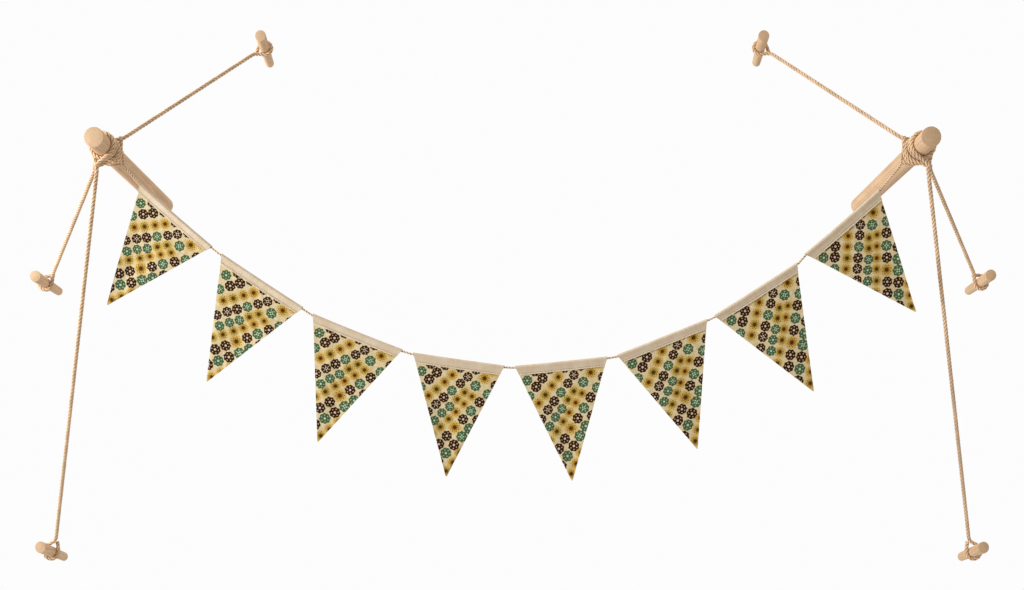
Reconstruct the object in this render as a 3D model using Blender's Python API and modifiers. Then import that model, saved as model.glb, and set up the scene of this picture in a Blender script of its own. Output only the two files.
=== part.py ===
"""Small fabric bunting on a string between two wooden posts that stand out from a wall.

Metres, +Z up. The wall is the plane y = 0, and everything reaches out from it towards -Y, where the
viewer stands. The origin lies on the wall midway between the feet of the two posts. Each post slopes
a little upwards and is stayed by three twisted cords to short pegs in the same wall. Eight triangular
pennants hang in one plane, each sewn into a folded tape heading that the string runs through.

Sizes in the tables are millimetres, and the functions that make objects turn them into metres.
"""

import math
from typing import NamedTuple

import bmesh
import bpy
from mathutils import Matrix, Vector

MM = 0.001

# Clearance between pieces that touch
GAP = 0.3

# Round sticks, which taper a little towards the wall
POST_END_DIAMETER = 20.4
POST_FOOT_DIAMETER = 19.0
POST_REACH = 212.0
POST_SIDES = 24
PEG_END_DIAMETER = 12.6
PEG_FOOT_DIAMETER = 9.8
PEG_REACH = 64.0
PEG_SIDES = 16
END_ROUNDING = 0.8

# Twisted jute cord of the stays
CORD_DIAMETER = 4.4
CORD_STRANDS = 3
CORD_VALLEY = 0.76
CORD_STEP = 4.6
CORD_FINENESS = 4
THROAT_ROUNDING = 5.0

# Thin string that carries the pennants
STRING_DIAMETER = 2.4
STRING_STEP = 6.0

# Cloth
TAPE_THICKNESS = 1.0
TAPE_CLEARANCE = 0.35
CLOTH_THICKNESS = 1.0
CLOTH_SPARE_AT_TIP = 1.0
CLOTH_RIPPLE = 2.2
RIPPLES_ACROSS = 1.1
HANGING_PLANE_Y = -165.0

SHARP_EDGE = math.radians(35.0)

# Faces across and along each kind of sheet
HEADING_COLUMNS = 4
PENNANT_COLUMNS = 5
PENNANT_ROWS = 9
TAPE_ARC_STEPS = 6
TAPE_ARC_HALF_ANGLE = math.radians(115.0)


class Stick(NamedTuple):
    """A round stick: the centre of its foot on the wall and of its free end, which is cut upright."""

    name: str
    foot_x: float
    foot_z: float
    end_x: float
    end_z: float
    reach: float
    end_diameter: float
    foot_diameter: float
    sides: int

    @property
    def stretch(self):
        """How much taller than wide an upright cut through the sloping stick is."""
        return math.hypot(1.0, (self.end_z - self.foot_z) / self.reach)

    def axis_at(self, station):
        """Centre of the stick where it is station behind its free end."""
        share = station / self.reach
        return Vector((
            self.end_x + (self.foot_x - self.end_x) * share,
            station - self.reach,
            self.end_z + (self.foot_z - self.end_z) * share,
        ))

    def radius_at(self, station):
        """The tapered stick's radius there."""
        share = station / self.reach
        return (self.end_diameter * (1.0 - share) + self.foot_diameter * share) / 2.0

    def beside(self, station, angle, radius):
        """Point at a radius from the axis, in the upright plane at that station."""
        out = Vector((math.cos(angle), 0.0, math.sin(angle) * self.stretch))
        return self.axis_at(station) + out * radius


class Noose(NamedTuple):
    """A loop drawn tight round a stick by the cord that leaves from its throat."""

    station: float
    towards_foot: int
    throat_angle: float
    throat_reach: float
    turns: int
    winding: int

    def mirrored(self):
        """The same loop on the right side."""
        return self._replace(throat_angle=180.0 - self.throat_angle, winding=-self.winding)


class Stay(NamedTuple):
    """One stay cord of the left side: its loop on the post and its loop on the peg."""

    name: str
    at_post: Noose
    at_peg: Noose


class Pennant(NamedTuple):
    """Corners of a pennant with its heading, its tape's height, and how uneven it hangs."""

    left_x: float
    left_z: float
    right_x: float
    right_z: float
    tip_x: float
    tip_z: float
    tape_height: float
    bow: float
    tip_forward: float


POST_ROW = (POST_REACH, POST_END_DIAMETER, POST_FOOT_DIAMETER, POST_SIDES)
PEG_ROW = (PEG_REACH, PEG_END_DIAMETER, PEG_FOOT_DIAMETER, PEG_SIDES)

POSTS = {
    "left": Stick("post_left", -420.5, 0.5, -422.7, 51.6, *POST_ROW),
    "right": Stick("post_right", 420.5, 0.5, 423.8, 52.1, *POST_ROW),
}

PEGS = {
    ("upper", "left"): Stick("peg_upper_left", -293.6, 172.8, -289.6, 190.6, *PEG_ROW),
    ("outer", "left"): Stick("peg_outer_left", -549.7, -103.4, -549.1, -86.2, *PEG_ROW),
    ("lower", "left"): Stick("peg_lower_left", -543.3, -425.0, -543.0, -398.4, *PEG_ROW),
    ("upper", "right"): Stick("peg_upper_right", 296.2, 174.0, 290.0, 190.6, *PEG_ROW),
    ("outer", "right"): Stick("peg_outer_right", 553.7, -102.7, 551.5, -85.0, *PEG_ROW),
    ("lower", "right"): Stick("peg_lower_right", 545.1, -425.0, 543.1, -398.7, *PEG_ROW),
}

STAYS = (
    Stay("lower", Noose(27.0, -1, -110.0, 21.8, 2, -1), Noose(27.0, 1, 62.0, 12.8, 1, 1)),
    Stay("outer", Noose(36.1, -1, -125.0, 22.9, 1, -1), Noose(27.0, 1, 47.0, 12.8, 1, -1)),
    Stay("upper", Noose(42.0, -1, 46.7, 19.7, 1, 1), Noose(27.0, 1, -151.0, 12.8, 1, 1)),
)

STRING_NOOSE = Noose(48.2, -1, -42.0, 15.5, 1, 1)

PENNANTS = (
    Pennant(-391.5, 10.2, -315.5, -56.3, -426.3, -118.6, 9.4, 0.6, 2.6),
    Pennant(-306.0, -63.7, -219.5, -120.7, -322.9, -199.8, 10.0, 0.4, -1.8),
    Pennant(-210.0, -127.0, -115.0, -165.0, -204.7, -263.1, 10.1, 0.5, 2.0),
    Pennant(-104.5, -168.1, -7.4, -181.9, -69.6, -300.1, 11.0, 0.3, -1.4),
    Pennant(2.5, -182.3, 101.0, -172.2, 63.3, -304.0, 10.8, 0.3, 2.4),
    Pennant(110.1, -170.7, 205.6, -132.6, 196.2, -271.4, 10.4, 0.2, -2.2),
    Pennant(212.5, -129.2, 300.3, -73.2, 318.0, -209.9, 10.1, 0.3, 1.6),
    Pennant(308.2, -64.1, 386.4, 4.0, 426.8, -125.7, 11.3, 0.7, -2.0),
)


class Heading:
    """Places points on one pennant: along its heading, down from the top edge, and forward."""

    def __init__(self, pennant):
        self.pennant = pennant
        self.left = Vector((pennant.left_x, HANGING_PLANE_Y, pennant.left_z))
        run = Vector((pennant.right_x - pennant.left_x, 0.0, pennant.right_z - pennant.left_z))
        self.width = run.length
        self.along = run.normalized()
        self.down = Vector((self.along.z, 0.0, -self.along.x))
        tip = Vector((pennant.tip_x, HANGING_PLANE_Y, pennant.tip_z)) - self.left
        self.tip_along = tip.dot(self.along)
        self.drop = tip.dot(self.down)

    def span_at(self, depth):
        """Where the two slanting sides are, measured along the heading, at a depth below its top."""
        share = depth / self.drop
        return self.tip_along * share, self.width + (self.tip_along - self.width) * share

    def point(self, along, depth, forward):
        """World position of a point of the cloth or tape."""
        share = along / self.width
        bow = self.pennant.bow * 4.0 * share * (1.0 - share)
        flat = self.left + self.along * along + self.down * (depth + bow)
        return flat - Vector((0.0, forward, 0.0))

    def point_between_sides(self, across, depth, forward):
        """The same, with across running from 0 on the left side to 1 on the right side."""
        left, right = self.span_at(depth)
        return self.point(left + (right - left) * across, depth, forward)


def string_depth():
    """How far below a heading's top edge the middle of the string runs."""
    return TAPE_THICKNESS + TAPE_CLEARANCE + STRING_DIAMETER / 2.0


def cloth_top_depth():
    """Where the cloth starts inside the tape, just under the string."""
    return string_depth() + STRING_DIAMETER / 2.0 + TAPE_CLEARANCE


def noose_points(stick, noose, diameter, step, fineness=1):
    """Points of a loop round a stick, from its throat to its tail.

    The cord runs in from the throat, touches the stick at a tangent, winds round it, leaves it at
    the other tangent and ends beside its own start at the throat. The loop is wide enough for
    straight runs of one step to clear the stick, and fineness is the number of points for each.
    """
    pitch = diameter + GAP
    radius = stick.radius_at(noose.station) + GAP + diameter / 2.0
    radius += step * step / (8.0 * radius)
    throat_angle = math.radians(noose.throat_angle)
    half_mouth = math.acos(radius / noose.throat_reach)
    sweep = math.tau * noose.turns - 2.0 * half_mouth
    count = math.ceil(sweep * radius / step) * fineness
    points = [stick.beside(noose.station, throat_angle, noose.throat_reach)]
    for k in range(count + 1):
        swept = sweep * k / count
        angle = throat_angle + noose.winding * (half_mouth + swept)
        station = noose.station + noose.towards_foot * pitch * swept / math.tau
        points.append(stick.beside(station, angle, radius))
    tail_station = noose.station + noose.towards_foot * pitch
    points.append(stick.beside(tail_station, throat_angle, noose.throat_reach))
    return points


def rounded_corner(before, corner, after, reach, steps=4):
    """A corner of a route made round, as points of a quadratic curve."""
    start = corner + (before - corner).normalized() * reach
    end = corner + (after - corner).normalized() * reach
    shares = [k / steps for k in range(steps + 1)]
    return [start * (1 - t) ** 2 + corner * 2 * t * (1 - t) + end * t * t for t in shares]


def sampled_evenly(route, step):
    """Points at even distances along a route, its two ends kept."""
    lengths = [(b - a).length for a, b in zip(route, route[1:])]
    total = sum(lengths)
    count = round(total / step)
    points = [route[0]]
    leg, passed = 0, 0.0
    for k in range(1, count):
        target = total * k / count
        while passed + lengths[leg] < target:
            passed += lengths[leg]
            leg += 1
        share = (target - passed) / lengths[leg]
        points.append(route[leg].lerp(route[leg + 1], share))
    return points + [route[-1]]


def tied_route(loop_a, middle, loop_b):
    """Route of a cord from the tail of one loop, through the middle points, to the other's tail."""
    start, end = loop_a[0], loop_b[0]
    first = (middle or [end])[0]
    last = (middle or [start])[-1]
    route = loop_a[:0:-1]
    route += rounded_corner(loop_a[1], start, first, THROAT_ROUNDING)
    route += middle
    route += rounded_corner(last, end, loop_b[1], THROAT_ROUNDING)
    return route + loop_b[1:]


def stay_route(side, stay):
    """Route of one stay cord, from its tail on the post to its tail on the peg."""
    at_post, at_peg = stay.at_post, stay.at_peg
    if side == "right":
        at_post, at_peg = at_post.mirrored(), at_peg.mirrored()
    peg = PEGS[stay.name, side]
    on_post = noose_points(POSTS[side], at_post, CORD_DIAMETER, CORD_STEP, CORD_FINENESS)
    on_peg = noose_points(peg, at_peg, CORD_DIAMETER, CORD_STEP, CORD_FINENESS)
    return sampled_evenly(tied_route(on_post, [], on_peg), CORD_STEP)


def string_route(headings):
    """Route of the bunting's string: round one post, through every heading, round the other."""
    on_left = noose_points(POSTS["left"], STRING_NOOSE, STRING_DIAMETER, STRING_STEP)
    on_right = noose_points(POSTS["right"], STRING_NOOSE.mirrored(), STRING_DIAMETER, STRING_STEP)
    middle = []
    for heading in headings:
        for k in range(HEADING_COLUMNS + 1):
            along = heading.width * k / HEADING_COLUMNS
            middle.append(heading.point(along, string_depth(), 0.0))
    return tied_route(on_left, middle, on_right)


def tape_profile(height):
    """Section of a folded tape as (depth, forward) pairs, from its back edge over to its front edge."""
    arc_radius = STRING_DIAMETER / 2.0 + TAPE_CLEARANCE + TAPE_THICKNESS / 2.0
    leg_forward = CLOTH_THICKNESS / 2.0 + TAPE_CLEARANCE + TAPE_THICKNESS / 2.0
    arc = []
    for k in range(TAPE_ARC_STEPS + 1):
        angle = TAPE_ARC_HALF_ANGLE * (2.0 * k / TAPE_ARC_STEPS - 1.0)
        depth = string_depth() - arc_radius * math.cos(angle)
        arc.append((depth, arc_radius * math.sin(angle)))
    leg_depths = (height, cloth_top_depth() + CLOTH_THICKNESS)
    back = [(depth, -leg_forward) for depth in leg_depths]
    front = [(depth, leg_forward) for depth in reversed(leg_depths)]
    return back + arc + front


def smooth_ramp(value, start, end):
    """0 up to start, 1 from end on, and a soft rise between them."""
    t = min(max((value - start) / (end - start), 0.0), 1.0)
    return t * t * (3.0 - 2.0 * t)


def cloth_forward(pennant, across, depth, drop):
    """How far a point of the cloth hangs in front of the middle plane."""
    free = smooth_ramp(depth, pennant.tape_height, drop)
    ripple = math.sin(math.tau * RIPPLES_ACROSS * across + math.pi * pennant.tip_forward)
    return pennant.tip_forward * free + CLOTH_RIPPLE * ripple * free * (1.0 - free)


def make_material(name, colour, roughness):
    """A plain Principled material."""
    material = bpy.data.materials.new(name)
    material.use_nodes = True
    shader = material.node_tree.nodes["Principled BSDF"]
    shader.inputs["Base Color"].default_value = (*colour, 1.0)
    shader.inputs["Roughness"].default_value = roughness
    shader.inputs["Metallic"].default_value = 0.0
    material.diffuse_color = (*colour, 1.0)
    return material


def make_mesh_object(name, bm, material, collection):
    """Scales a mesh from millimetres to metres and makes it an object."""
    bm.transform(Matrix.Scale(MM, 4))
    mesh = bpy.data.meshes.new(name)
    bm.to_mesh(mesh)
    bm.free()
    mesh.materials.append(material)
    mesh.shade_smooth()
    mesh.set_sharp_from_angle(angle=SHARP_EDGE)
    part = bpy.data.objects.new(name, mesh)
    collection.objects.link(part)
    return part


def make_stick(stick, material, collection):
    """A sloping dowel, cut upright at the wall and at its rounded free end."""
    bm = bmesh.new()
    bmesh.ops.create_cone(
        bm,
        cap_ends=True,
        segments=stick.sides,
        radius1=stick.foot_diameter / 2.0,
        radius2=stick.end_diameter / 2.0,
        depth=stick.reach,
    )
    rim = [edge for edge in bm.edges if all(vertex.co.z > 0.0 for vertex in edge.verts)]
    bmesh.ops.bevel(
        bm, geom=rim, offset=END_ROUNDING, segments=1, profile=0.5, affect="EDGES"
    )
    lean_x = (stick.end_x - stick.foot_x) / stick.reach
    lean_z = (stick.end_z - stick.foot_z) / stick.reach
    middle = stick.axis_at(stick.reach / 2.0)
    bm.transform(Matrix((
        (1.0, 0.0, lean_x, middle.x),
        (0.0, 0.0, -1.0, middle.y),
        (0.0, stick.stretch, lean_z, middle.z),
        (0.0, 0.0, 0.0, 1.0),
    )))
    return make_mesh_object(stick.name, bm, material, collection)


def make_sheet(name, columns, rows, place, thickness, material, collection):
    """A thin sheet: place(column, row) puts each corner of a grid, and Solidify thickens it."""
    bm = bmesh.new()
    bmesh.ops.create_grid(bm, x_segments=columns, y_segments=rows, size=1.0)
    for vertex in bm.verts:
        column = round((vertex.co.x + 1.0) / 2.0 * columns)
        row = round((vertex.co.y + 1.0) / 2.0 * rows)
        vertex.co = place(column, row)
    sheet = make_mesh_object(name, bm, material, collection)
    solidify = sheet.modifiers.new("thickness", "SOLIDIFY")
    solidify.thickness = thickness * MM
    solidify.offset = 0.0
    solidify.use_even_offset = True
    return sheet


def make_heading(name, heading, material, collection):
    """The folded tape that the pennant is sewn into and the string runs through."""
    profile = tape_profile(heading.pennant.tape_height)

    def place(column, row):
        depth, forward = profile[row]
        return heading.point_between_sides(column / HEADING_COLUMNS, depth, forward)

    rows = len(profile) - 1
    return make_sheet(name, HEADING_COLUMNS, rows, place, TAPE_THICKNESS, material, collection)


def make_pennant(name, heading, material, collection):
    """The triangle of printed cloth below a heading."""
    top = cloth_top_depth()
    bottom = heading.drop - CLOTH_SPARE_AT_TIP

    def place(column, row):
        depth = top + (bottom - top) * row / PENNANT_ROWS
        across = column / PENNANT_COLUMNS
        forward = cloth_forward(heading.pennant, across, depth, heading.drop)
        return heading.point_between_sides(across, depth, forward)

    return make_sheet(
        name, PENNANT_COLUMNS, PENNANT_ROWS, place, CLOTH_THICKNESS, material, collection
    )


def make_cord_section(collection):
    """Outline of a laid cord: one rounded lobe for each strand, as a guide for the stays."""
    curve = bpy.data.curves.new("cord_section", "CURVE")
    curve.dimensions = "2D"
    spline = curve.splines.new("POLY")
    corners = 2 * CORD_STRANDS
    spline.points.add(corners - 1)
    for k, point in enumerate(spline.points):
        radius = CORD_DIAMETER / 2.0 * (CORD_VALLEY if k % 2 else 1.0) * MM
        angle = -math.tau * k / corners
        point.co = (radius * math.cos(angle), radius * math.sin(angle), 0.0, 1.0)
    spline.use_cyclic_u = True
    guide = bpy.data.objects.new("cord_section", curve)
    guide.hide_render = True
    guide.display_type = "WIRE"
    collection.objects.link(guide)
    return guide


def make_cord(name, route, material, collection):
    """A curve object with capped ends along a route; the caller gives it its section."""
    curve = bpy.data.curves.new(name, "CURVE")
    curve.dimensions = "3D"
    curve.use_fill_caps = True
    spline = curve.splines.new("POLY")
    spline.points.add(len(route) - 1)
    for point, place in zip(spline.points, route):
        point.co = (*(place * MM), 1.0)
    curve.materials.append(material)
    cord = bpy.data.objects.new(name, curve)
    collection.objects.link(cord)
    return cord


def make_stay(name, route, section, material, collection):
    """A stay of laid cord: its section turns by half a strand's share from point to point."""
    cord = make_cord(name, route, material, collection)
    cord.data.bevel_mode = "OBJECT"
    cord.data.bevel_object = section
    turn = math.tau / (2 * CORD_STRANDS)
    for k, point in enumerate(cord.data.splines[0].points):
        point.tilt = turn * k
    return cord


def make_string(name, route, material, collection):
    """The thin string, round in section."""
    cord = make_cord(name, route, material, collection)
    cord.data.bevel_depth = STRING_DIAMETER / 2.0 * MM
    cord.data.bevel_resolution = 2
    return cord


def new_collection(name):
    """An empty collection in the scene."""
    collection = bpy.data.collections.new(name)
    bpy.context.scene.collection.children.link(collection)
    return collection


def main():
    """Builds the whole part."""
    for old in list(bpy.data.objects):
        bpy.data.objects.remove(old, do_unlink=True)
    parts = new_collection("bunting_on_wall_posts")
    guides = new_collection("guides")

    wood = make_material("wood", (0.67, 0.46, 0.30), 0.62)
    jute = make_material("jute", (0.62, 0.45, 0.28), 0.95)
    string = make_material("string", (0.80, 0.72, 0.60), 0.90)
    tape = make_material("tape", (0.74, 0.62, 0.48), 0.90)
    cotton = make_material("printed_cotton", (0.72, 0.60, 0.34), 0.92)

    for stick in (*POSTS.values(), *PEGS.values()):
        make_stick(stick, wood, parts)

    section = make_cord_section(guides)
    for side in POSTS:
        for stay in STAYS:
            make_stay(f"stay_{stay.name}_{side}", stay_route(side, stay), section, jute, parts)

    headings = [Heading(pennant) for pennant in PENNANTS]
    make_string("bunting_string", string_route(headings), string, parts)
    for number, heading in enumerate(headings, start=1):
        make_heading(f"heading_{number}", heading, tape, parts)
        make_pennant(f"pennant_{number}", heading, cotton, parts)


if __name__ == "__main__":
    main()
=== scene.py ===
"""Looks of a small fabric bunting hung on a string between two wooden posts stayed by jute cords.

The frame is the CAD model's: metres, +Z up, the wall at y = 0 and the viewer at -Y. The tables and
the modelling code use millimetres, and MM turns them into metres where a mesh is made.
"""

from __future__ import annotations

import logging
import math
import random
from abc import ABC, abstractmethod
from dataclasses import dataclass, replace
from enum import Enum
from functools import cached_property
from typing import Callable, Mapping, Sequence

import bpy
import numpy as np
from mathutils import Matrix, Vector, noise


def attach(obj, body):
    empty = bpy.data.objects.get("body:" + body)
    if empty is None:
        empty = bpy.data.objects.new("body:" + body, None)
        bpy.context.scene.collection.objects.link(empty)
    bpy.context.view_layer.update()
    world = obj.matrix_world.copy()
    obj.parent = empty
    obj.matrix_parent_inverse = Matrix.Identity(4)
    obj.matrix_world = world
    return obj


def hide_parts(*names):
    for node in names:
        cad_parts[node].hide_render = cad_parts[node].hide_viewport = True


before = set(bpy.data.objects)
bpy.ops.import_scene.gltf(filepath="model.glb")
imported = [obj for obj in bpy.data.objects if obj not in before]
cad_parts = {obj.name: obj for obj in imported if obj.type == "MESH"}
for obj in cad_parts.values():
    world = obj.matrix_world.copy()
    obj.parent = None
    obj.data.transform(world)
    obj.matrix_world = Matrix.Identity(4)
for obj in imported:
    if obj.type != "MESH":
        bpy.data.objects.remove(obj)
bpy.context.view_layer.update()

MM = 0.001
BODY = "root"
LOG = logging.getLogger("bunting")

Triple = tuple[float, float, float]
Span = tuple[float, float]


def srgb(red: int, green: int, blue: int) -> Triple:
    """A colour given from 0 to 255, as the linear values that a shader takes."""
    shares = [level / 255.0 for level in (red, green, blue)]
    return tuple(s / 12.92 if s <= 0.04045 else ((s + 0.055) / 1.055) ** 2.4 for s in shares)


def smooth_ramp(value: float, start: float, end: float) -> float:
    """0 up to start, 1 from end on, and a soft rise between them."""
    t = min(max((value - start) / (end - start), 0.0), 1.0)
    return t * t * (3.0 - 2.0 * t)


class Layer(Enum):
    """UV maps and attributes that carry a pattern over a piece's surface."""

    GRAIN = "grain_place"
    YARN = "yarn"
    CLOTH = "cloth"
    SEAM = "above_edge"
    UNDER = "flower_under"
    OVER = "flower_over"
    UNDER_KIND = "kind_under"
    OVER_KIND = "kind_over"
    FADE = "print_strength"


class Slot(Enum):
    """The record's material slots."""

    WOOD = "wood"
    JUTE = "jute"
    STRING = "string"
    TAPE = "tape"
    COTTON = "printed_cotton"


class Lay(Enum):
    """How a cord lies."""

    TAUT = "taut"
    HANGING = "hanging"


class Blossom(Enum):
    """The kinds of flower in the print, and the letter for each in the chart."""

    NONE = "."
    BROWN = "b"
    GREEN = "g"
    GOLD = "o"

    @property
    def level(self) -> float:
        """The number that stands for the kind on a mesh."""
        return float(list(Blossom).index(self))


class Signal:
    """A number or vector that varies over a surface. Its arithmetic adds Math nodes."""

    def __init__(self, sketch: ShaderSketch, socket: bpy.types.NodeSocket) -> None:
        """Keeps the sketch it belongs to and the node output that carries it."""
        self.sketch = sketch
        self.socket = socket

    def __add__(self, other: Value) -> Signal:
        """This plus another value."""
        return self.sketch.math("ADD", self, other)

    def __sub__(self, other: Value) -> Signal:
        """This less another value."""
        return self.sketch.math("SUBTRACT", self, other)

    def __rsub__(self, other: float) -> Signal:
        """A plain number less this."""
        return self.sketch.math("SUBTRACT", other, self)

    def __mul__(self, other: Value) -> Signal:
        """This times another value."""
        return self.sketch.math("MULTIPLY", self, other)

    def __pow__(self, power: float) -> Signal:
        """This raised to a power."""
        return self.sketch.math("POWER", self, power)


Value = float | tuple[float, ...] | Signal


class ShaderSketch:
    """Adds and joins the nodes of one material."""

    def __init__(self, name: str) -> None:
        """Starts a material with its Principled shader.

        Args:
            name: Name of the material.
        """
        self.material = bpy.data.materials.new(name)
        self.material.use_nodes = True
        self.nodes = self.material.node_tree.nodes
        self.links = self.material.node_tree.links
        self.surface = self.nodes["Principled BSDF"]

    def feed(self, socket: bpy.types.NodeSocket, value: Value) -> None:
        """Links an input to a signal, or sets it to a plain value.

        Args:
            socket: The input.
            value: What it takes. A colour of three numbers becomes opaque.
        """
        if isinstance(value, Signal):
            self.links.new(value.socket, socket)
        elif isinstance(value, tuple) and len(value) < len(socket.default_value):
            socket.default_value = (*value, 1.0)
        else:
            socket.default_value = value

    def add(self, kind: str, output: str | int, inputs: Mapping[str | int, Value], **options: str) -> Signal:
        """Adds a node.

        Args:
            kind: Blender's name of the node, without the word ShaderNode.
            output: The output that is wanted.
            inputs: What its inputs take.
            options: Its menus and names.

        Returns:
            The signal at that output.
        """
        node = self.nodes.new(f"ShaderNode{kind}")
        for option, choice in options.items():
            setattr(node, option, choice)
        for socket, value in inputs.items():
            self.feed(node.inputs[socket], value)
        return Signal(self, node.outputs[output])

    def math(self, operation: str, *values: Value) -> Signal:
        """Result of a Math node on one value or more."""
        return self.add("Math", 0, dict(enumerate(values)), operation=operation)

    def hypot(self, a: Signal, b: Signal) -> Signal:
        """Length of the line that goes a one way and b across it."""
        return self.math("SQRT", a * a + b * b)

    def axes(self, place: Signal) -> tuple[Signal, ...]:
        """The three parts of a vector."""
        node = self.add("SeparateXYZ", 0, {0: place}).socket.node
        return tuple(Signal(self, part) for part in node.outputs)

    def uv_map(self, layer: Layer) -> Signal:
        """Coordinates of a UV map."""
        return self.add("UVMap", "UV", {}, uv_map=layer.value)

    def attribute(self, layer: Layer, output: str) -> Signal:
        """A mesh attribute, read as "Fac" or "Vector"."""
        return self.add("Attribute", output, {}, attribute_name=layer.value)

    def object_place(self) -> Signal:
        """Object coordinates."""
        return self.add("TexCoord", "Object", {})

    def normal(self) -> Signal:
        """The surface's normal."""
        return self.add("NewGeometry", "Normal", {})

    def noise(
        self, place: Signal, scale: float | Triple, detail: float = 3.0, roughness: float = 0.55
    ) -> Signal:
        """Noise from 0 to 1 at a place.

        Args:
            place: Coordinates to read.
            scale: Features for each unit of the coordinates, in all directions or along each axis.
            detail: Octaves of finer noise.
            roughness: Share of the finer octaves.

        Returns:
            The noise's value.
        """
        if isinstance(scale, tuple):
            place = self.add("VectorMath", "Vector", {0: place, 1: scale}, operation="MULTIPLY")
            scale = 1.0
        grain = {"Vector": place, "Scale": scale, "Detail": detail, "Roughness": roughness}
        return self.add("TexNoise", "Fac", grain)

    def fade(self, value: Signal, span: Span, levels: Span = (0.0, 1.0)) -> Signal:
        """A soft step from levels[0], where value is span[0], to levels[1], where it is span[1]."""
        numbers = dict(enumerate((value, *span, *levels)))
        return self.add("MapRange", 0, numbers, interpolation_type="SMOOTHSTEP")

    def mix(self, share: Value, first: Value, second: Value) -> Signal:
        """A colour between first, at share 0, and second, at share 1."""
        return self.add("Mix", 2, {0: share, 6: first, 7: second}, data_type="RGBA")

    def tint(self, colour: Value, share: Signal) -> Signal:
        """A colour made darker or brighter by a factor."""
        return self.add("VectorMath", "Vector", {0: colour, "Scale": share}, operation="SCALE")

    def wave(self, value: Signal, pitch: float) -> Signal:
        """A sine from 0 to 1 that repeats once for each pitch of the value."""
        return self.math("SINE", value * (math.tau / pitch)) * 0.5 + 0.5

    def larger(self, a: Signal, b: Signal) -> Signal:
        """The larger of two values at each place."""
        return self.math("MAXIMUM", a, b)

    def colour_surface(self, colour: Signal) -> None:
        """Gives the shader its colour."""
        self.feed(self.surface.inputs["Base Color"], colour)

    def raise_surface(self, height: Signal, depth_mm: float) -> None:
        """Gives the shader a bump of a depth in millimetres."""
        bump = {"Height": height, "Distance": depth_mm * MM, "Strength": 1.0}
        self.feed(self.surface.inputs["Normal"], self.add("Bump", "Normal", bump))


@dataclass(frozen=True)
class Finish(ABC):
    """One finish: its name, and what is the same all over it."""

    name: str
    roughness: float
    sheen: float
    specular: float

    @abstractmethod
    def paint(self, sketch: ShaderSketch) -> None:
        """Adds the nodes of the finish."""

    def make(self) -> bpy.types.Material:
        """Builds the material.

        Returns:
            The material.
        """
        sketch = ShaderSketch(self.name)
        even = {
            "Roughness": self.roughness,
            "Sheen Weight": self.sheen,
            "Sheen Roughness": 0.5,
            "Specular IOR Level": self.specular,
        }
        for socket, value in even.items():
            sketch.feed(sketch.surface.inputs[socket], value)
        self.paint(sketch)
        return sketch.material


@dataclass(frozen=True)
class WoodFinish(Finish):
    """Sanded, unvarnished hardwood dowel, with its rings on the sawn end and its grain along the side."""

    early: Triple
    late: Triple
    fleck: Triple
    ring_mm: float
    ring_drift_mm: float
    saw_line_mm: float
    sawn_if_normal_below: float = -0.85

    def paint(self, sketch: ShaderSketch) -> None:
        """Adds rings, grain, flecks and the saw's lines. Noise is drawn out along the dowel.

        Args:
            sketch: The material's sketch.
        """
        place = sketch.attribute(Layer.GRAIN, "Vector")
        x, _, z = sketch.axes(place)
        drift = sketch.noise(place, (0.11, 0.0066, 0.11), detail=2.0)
        fibre = sketch.noise(place, (3.2, 0.09, 3.2), detail=4.0, roughness=0.65)
        patch = sketch.noise(place, (0.10, 0.03, 0.10), detail=2.0)
        flecks = sketch.fade(sketch.noise(place, (2.0, 0.16, 2.0), detail=1.0), (0.66, 0.74))
        ring = sketch.wave(drift * self.ring_drift_mm + sketch.hypot(x, z), self.ring_mm) ** 1.8

        _, towards_wall, _ = sketch.axes(sketch.normal())
        sawn = sketch.math("LESS_THAN", towards_wall, self.sawn_if_normal_below)
        colour = sketch.mix(ring * (sawn * -0.28 + 0.55), self.early, self.late)
        colour = sketch.tint(colour, sketch.fade(fibre, (0.25, 0.75), (0.88, 1.07)))
        colour = sketch.tint(colour, sketch.fade(patch, (0.3, 0.7), (0.91, 1.05)))
        colour = sketch.mix(flecks * 0.40, colour, self.fleck)

        saw_lines = sketch.wave(fibre * 1.2 + (z * 0.8 + x), self.saw_line_mm)
        saw_marks = sawn * saw_lines
        sketch.colour_surface(sketch.tint(colour, saw_marks * -0.07 + 1.0))
        sketch.raise_surface(fibre * 0.6 + saw_marks * 0.30, depth_mm=0.10)


@dataclass(frozen=True)
class YarnFinish(Finish):
    """Spun fibre of a cord, on strands whose UV map runs along and round them in millimetres."""

    light: Triple
    dark: Triple
    yarn_mm: float
    lean: float
    relief_mm: float
    girth_mm: float
    painted_valley_shade: Triple

    def paint(self, sketch: ShaderSketch) -> None:
        """Adds the yarns of a strand, their loose fibres, painted shade in the grooves between the yarns and
        in the valleys between the strands, and changes of colour.

        Args:
            sketch: The material's sketch.
        """
        place = sketch.uv_map(Layer.YARN)
        along, around, _ = sketch.axes(place)
        fibre = sketch.noise(place, (0.45, 3.6, 1.0), detail=4.0, roughness=0.7)
        broad = sketch.noise(sketch.object_place(), 60.0, detail=2.0)
        yarn = sketch.wave(fibre * 0.25 + (along * self.lean + around), self.yarn_mm)

        # Partly painted shade: the colour is darker in the grooves between the yarns, on top of the fibres'
        # own changes of tone.
        share = yarn * 0.45 + fibre * 0.75
        colour = sketch.mix(sketch.fade(share, (0.15, 0.95)), self.dark, self.light)
        # Painted shade: away from each strand's crest the colour turns to a darker shade colour, in the
        # valleys where the strands meet.
        off_crest = sketch.math("ABSOLUTE", around * (2.0 / self.girth_mm) - 1.0)
        colour = sketch.mix(sketch.fade(off_crest, (0.30, 0.62)), colour, self.painted_valley_shade)
        sketch.colour_surface(sketch.tint(colour, sketch.fade(broad, (0.3, 0.7), (0.88, 1.10))))
        sketch.raise_surface(yarn * 0.6 + fibre, self.relief_mm)


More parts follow.
